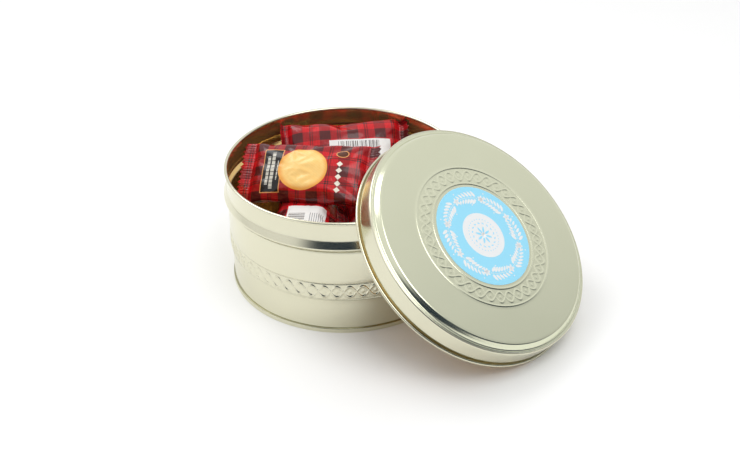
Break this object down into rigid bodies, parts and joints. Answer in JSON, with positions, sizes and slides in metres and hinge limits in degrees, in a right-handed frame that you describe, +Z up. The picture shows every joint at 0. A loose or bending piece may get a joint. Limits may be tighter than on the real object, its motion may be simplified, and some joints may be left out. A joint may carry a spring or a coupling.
{
  "type": "round biscuit tin",
  "caption": "Round embossed tin with a lift-off lid leaning against its rim, filled with flow-wrapped shortbread rounds.",
  "frame": {"origin": "where the tin's own axis meets the surface it stands on", "axes": "+Z up along the tin's axis; +X towards the side on which the lid leans, away from the tin; +Y completes the right-handed set"},
  "size_m": [0.2542, 0.1654, 0.113],
  "materials": {
    "tinplate": "satin champagne lacquer outside, gold lacquer inside",
    "sticker": "matt pale blue print with a white wreath",
    "printed_film": "glossy red and black check film",
    "shortbread": "dry baked crumb"
  },
  "bodies": {
    "tin": {"tin_body": "tinplate", "base_disc": "tinplate"},
    "lid": {"lid": "tinplate", "lid_sticker": "sticker"},
    "packet_1": {"wrapper_1": "printed_film", "biscuits_1": "shortbread"},
    "packet_2": {"wrapper_2": "printed_film", "biscuits_2": "shortbread"},
    "packet_3": {"wrapper_3": "printed_film", "biscuits_3": "shortbread"},
    "packet_4": {"wrapper_4": "printed_film", "biscuits_4": "shortbread"},
    "packet_5": {"wrapper_5": "printed_film", "biscuits_5": "shortbread"},
    "packet_6": {"wrapper_6": "printed_film", "biscuits_6": "shortbread"},
    "packet_7": {"wrapper_7": "printed_film", "biscuits_7": "shortbread"},
    "packet_8": {"wrapper_8": "printed_film", "biscuits_8": "shortbread"},
    "packet_9": {"wrapper_9": "printed_film", "biscuits_9": "shortbread"},
    "packet_10": {"wrapper_10": "printed_film", "biscuits_10": "shortbread"}
  },
  "joints": [
    {"name": "lid_lift", "type": "slide", "parent": "tin", "child": "lid", "axis": [0.6143, 0, 0.7891], "range_m": [0, 0.15]},
    {"name": "packet_10_lift", "type": "slide", "parent": "tin", "child": "packet_10", "axis": [0, 0, 1], "range_m": [0, 0.024]},
    {"name": "packet_9_lift", "type": "slide", "parent": "packet_10", "child": "packet_9", "axis": [0, 0, 1], "range_m": [0, 0.024]},
    {"name": "packet_8_lift", "type": "slide", "parent": "packet_9", "child": "packet_8", "axis": [0, 0, 1], "range_m": [0, 0.024]},
    {"name": "packet_7_lift", "type": "slide", "parent": "packet_8", "child": "packet_7", "axis": [0, 0, 1], "range_m": [0, 0.024]},
    {"name": "packet_6_lift", "type": "slide", "parent": "packet_7", "child": "packet_6", "axis": [0, 0, 1], "range_m": [0, 0.024]},
    {"name": "packet_5_lift", "type": "slide", "parent": "packet_6", "child": "packet_5", "axis": [0, 0, 1], "range_m": [0, 0.024]},
    {"name": "packet_4_lift", "type": "slide", "parent": "packet_5", "child": "packet_4", "axis": [0, 0, 1], "range_m": [0, 0.016]},
    {"name": "packet_3_lift", "type": "slide", "parent": "packet_5", "child": "packet_3", "axis": [0, 0, 1], "range_m": [0, 0.1]},
    {"name": "packet_2_lift", "type": "slide", "parent": "packet_3", "child": "packet_2", "axis": [0, 0, 1], "range_m": [0, 0.12]},
    {"name": "packet_1_lift", "type": "slide", "parent": "packet_2", "child": "packet_1", "axis": [0, 0, 1], "range_m": [0, 0.11]}
  ]
}
